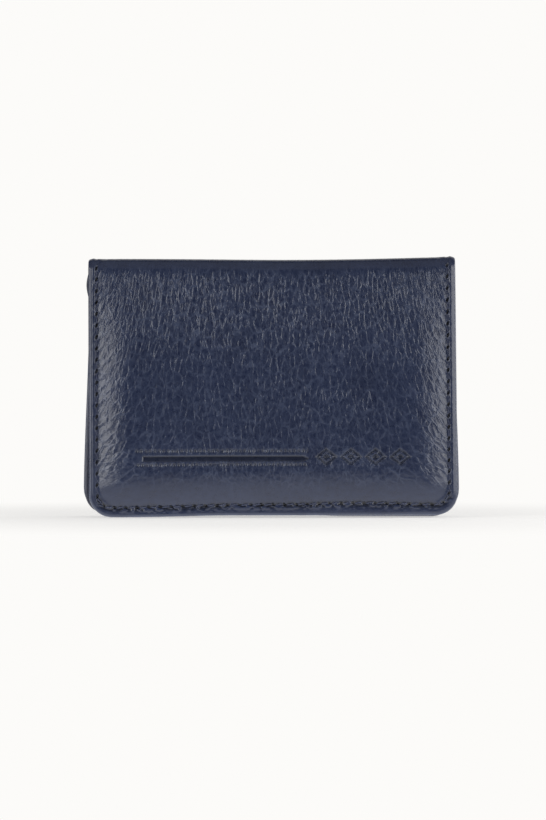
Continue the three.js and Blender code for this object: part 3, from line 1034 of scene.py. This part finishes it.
def stitches(name, centres, along, normal, nodes, body, length=2.5):
    """A row of separate stitches. centres, along and normal are (n, 3), in the plane of the holder."""
    thick, slant = 0.42, 0.16
    rings, around = 9, 8
    t = np.linspace(0, 1, rings)
    turn = np.linspace(0, 2 * math.pi, around, endpoint=False)
    fullness = np.sqrt(np.clip(1 - (2 * t - 1) ** 4, 0.03, 1))
    # A stitch arches up between its holes and dives into them at its ends.
    lift = 0.16 * np.sin(math.pi * t) ** 0.6 - 0.42 * (1 - np.sin(math.pi * t)) ** 3
    direction = unit(along + slant * np.cross(normal, along))
    across = np.cross(normal, direction)
    run, radius = (t - 0.5) * length, thick / 2 * fullness
    core = (centres[:, None] + direction[:, None] * run[None, :, None]
            + normal[:, None] * lift[None, :, None])
    ring = (across[:, None, None] * np.cos(turn)[None, None, :, None]
            + normal[:, None, None] * np.sin(turn)[None, None, :, None] * 0.85)
    points = core[:, :, None] + ring * radius[None, :, None, None]
    count = len(centres)
    index = np.arange(count * rings * around).reshape(count, rings, around)
    nxt = np.roll(index, -1, 2)
    faces = np.stack([index[:, :-1], nxt[:, :-1], nxt[:, 1:], index[:, 1:]], -1).reshape(-1, 4).tolist()
    faces += index[:, 0, ::-1].tolist() + index[:, -1].tolist()  # both ends
    uv = np.stack(np.meshgrid(t, turn / (2 * math.pi), indexing="ij"), -1).reshape(-1, 2)
    obj = new_object(name, to_row(points.reshape(-1, 3)), faces, np.tile(uv, (count, 1)))
    finish_piece(obj, thread, "thread", *nodes)
    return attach(obj, body)


def surface_frames(place, x, v, height, tx, tv):
    """Points, directions and normals on a placed surface at (x, v), by small steps along it."""
    step = 0.05
    height = np.broadcast_to(height, x.shape)
    centre = place(x, v, height)
    along = place(x + step * tx, v + step * tv, height) - centre
    other = place(x - step * tv, v + step * tx, height) - centre
    return centre, unit(along), unit(np.cross(along, other))


SUNK = 0.12  # the covers' seams are drawn this far into the leather


def seam_stitches(inset, top, corner):
    """Where a U-shaped seam's stitches are, half a pitch past its needle holes."""
    pitch = seam_pitch(inset, top, corner)
    s = np.arange(pitch / 2, seam_lengths(inset, top, corner)[-1], pitch)
    return seam_point(s, inset, top, corner)


def make_cover_stitches():
    x, v, tx, tv = seam_stitches(SEAM, SEAM_TOP, CORNER)
    frames = surface_frames(on_flap, x, v + foot_rise(x), -SUNK, tx, tv)
    stitches("flap_stitches", *frames, ["flap_thread"], "flap")

    # The same seam inside the flap, where it holds the lining and the slots.
    x, v, tx, tv = seam_stitches(SEAM, SEAM_TOP - 6, CORNER)
    v = v + foot_rise(x)
    layer = np.full(x.shape, span("flap_lining")[2][0])
    for name in ("flap_slot_upper", "flap_slot_lower"):
        layer[v < span(name)[1][1] - 1] = span(name)[2][0]
    centres, along, normal = surface_frames(flap_set, x, v, layer + 0.1, tx, tv)
    stitches("flap_inside_stitches", centres, along, -normal, [], "flap")

    x, v, tx, tv = seam_stitches(SEAM, SEAM_TOP, BACK_CORNER)
    frames = surface_frames(on_back, x, v, -SUNK, tx, tv)
    stitches("back_stitches", *frames, ["back_thread"], "case")


def make_pocket_stitches():
    face = span("pocket_front")[2][1]
    x, y, tx, ty = seam_stitches(SEAM + EDGE_INSET, span("pocket_thread")[1][1], CORNER)
    frames = surface_frames(pocket_set, x, y, face - 0.1, tx, ty)
    stitches("pocket_stitches", *frames, ["pocket_thread"], "pocket")

    half = HALF_WIDTH - EDGE_INSET - SEAM - 1
    x = np.linspace(-half, half, round(2 * half / STITCH_PITCH))
    slope = np.gradient(notched(x), x)
    size = np.hypot(1, slope)
    y = notched(x) - SEAM * size
    frames = surface_frames(pocket_set, x, y, face + 0.05, 1 / size, slope / size)
    stitches("mouth_stitches", *frames, ["mouth_thread"], "pocket", length=2.3)


make_cover_stitches()
make_pocket_stitches()

# Hidden pieces: the CAD shapes with their own materials

for node in ("back_board", "pocket_board"):
    set_material(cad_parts[node], fibreboard)
for side in ("left", "right"):
    set_material(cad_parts["flap_magnet_" + side], nickel)
    set_material(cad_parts["pocket_magnet_" + side], nickel)

# Studio


PAPER = (0.974, 0.965, 0.947, 1)
FLOOR_RADIUS = 0.18  # metres


def seen_or_lit(tree, seen, lit):
    """A mix of two shaders: the one that is looked at, and the one that lights the holder."""
    direct = add(tree, "ShaderNodeLightPath").outputs["Is Camera Ray"]
    return add(tree, "ShaderNodeMixShader", {0: direct, 1: lit.outputs[0], 2: seen.outputs[0]})


def make_floor():
    """A disc of pale, softly glowing paper. Its shading fades out into the surround at its rim, and the
    light that it sends up is strongest close to the holder."""
    mesh = bpy.data.meshes.new("floor")
    turns = np.linspace(0, 2 * math.pi, 96, endpoint=False)
    rim = [(FLOOR_RADIUS * math.cos(t), FLOOR_RADIUS * math.sin(t), 0) for t in turns]
    mesh.from_pydata(rim, [], [range(len(rim))])
    floor = in_scene("floor", mesh)
    material, tree, shader = new_material("floor_paper")
    shader.inputs["Base Color"].default_value = (0.6, 0.594, 0.584, 1)
    shader.inputs["Roughness"].default_value = 0.95
    shader.inputs["Specular IOR Level"].default_value = 0.0
    shader.inputs["Emission Color"].default_value = PAPER
    shader.inputs["Emission Strength"].default_value = 0.5
    glow = add(tree, "ShaderNodeEmission", {"Color": PAPER})
    place = add(tree, "ShaderNodeTexCoord").outputs["Object"]
    distance = add(tree, "ShaderNodeVectorMath", {0: place}, operation="LENGTH").outputs["Value"]
    away = mapped(tree, distance, 0.07, 0.95 * FLOOR_RADIUS, kind="SMOOTHSTEP")
    seen = add(tree, "ShaderNodeMixShader", {0: away, 1: shader.outputs[0], 2: glow.outputs[0]})
    parts = add(tree, "ShaderNodeSeparateXYZ", {0: place})
    from_holder = math_node(tree, "ABSOLUTE", parts.outputs[1])
    strength = mapped(tree, from_holder, 0.010, 0.075, 1.6, 0.25)
    bounce = add(tree, "ShaderNodeEmission", {"Color": PAPER, "Strength": strength})
    mix = seen_or_lit(tree, seen, bounce)
    tree.links.new(mix.outputs[0], tree.nodes["Material Output"].inputs["Surface"])
    mesh.materials.append(material)


def softbox(name, azimuth, elevation, distance, size, power):
    """A rectangular light aimed at the holder, with degrees, metres and watts. Azimuth 0 is straight in
    front, and 90 is to its right."""
    azimuth, elevation = math.radians(azimuth), math.radians(elevation)
    towards = Vector((math.sin(azimuth) * math.cos(elevation), -math.cos(azimuth) * math.cos(elevation),
                      math.sin(elevation)))
    data = bpy.data.lights.new(name, "AREA")
    data.shape = "RECTANGLE"
    data.size, data.size_y = size
    data.energy = power
    light = in_scene(name, data)
    light.location = Vector((0, 0, HEIGHT / 2 * MM)) + towards * distance
    light.rotation_euler = towards.to_track_quat("Z", "Y").to_euler()


def make_lights():
    softbox("left_softbox", -51, 6, 0.8, (0.45, 0.6), 4.4)
    softbox("right_softbox", 51, 6, 0.8, (0.45, 0.6), 3.9)
    softbox("left_rim", -98, 8, 0.7, (0.3, 0.5), 1.2)
    softbox("right_rim", 98, 8, 0.7, (0.3, 0.5), 4)
    softbox("overhead_softbox", 0, 65, 1.0, (1.4, 1.4), 2.3)
    softbox("back_softbox", 170, 28, 1.2, (1.6, 1.1), 4.2)


def make_world():
    """A pale surround for the camera, and a dim one for light and reflections."""
    world = bpy.data.worlds.new("studio")
    bpy.context.scene.world = world
    world.use_nodes = True
    tree = world.node_tree
    tree.nodes.clear()
    seen = add(tree, "ShaderNodeBackground", {"Color": PAPER, "Strength": 1.0})
    lit = add(tree, "ShaderNodeBackground", {"Color": (1, 1, 1, 1), "Strength": 0.09})
    mix = seen_or_lit(tree, seen, lit)
    output = add(tree, "ShaderNodeOutputWorld")
    tree.links.new(mix.outputs[0], output.inputs["Surface"])


def make_camera():
    """A camera far in front of the holder and almost level with it, aimed at a point below its middle."""
    lens, sensor = 300.0, 36.0
    seen_height = 0.2351  # metres of the holder's plane that fill the picture's height
    distance = seen_height * lens / sensor
    elevation = math.radians(1)
    aim = (0.0003, (DEPTH / 2 - FLAP_RIM) * MM, 0.03093)
    data = bpy.data.cameras.new("camera")
    data.lens = lens
    data.sensor_width = sensor
    data.clip_start = 0.01
    camera = in_scene("camera", data)
    back, up = distance * math.cos(elevation), distance * math.sin(elevation)
    camera.location = (aim[0], aim[1] - back, aim[2] + up)
    camera.rotation_euler = (math.pi / 2 - elevation, 0, 0)
    bpy.context.scene.camera = camera


make_floor()
make_lights()
make_world()
make_camera()
bpy.context.scene.view_settings.view_transform = "Standard"
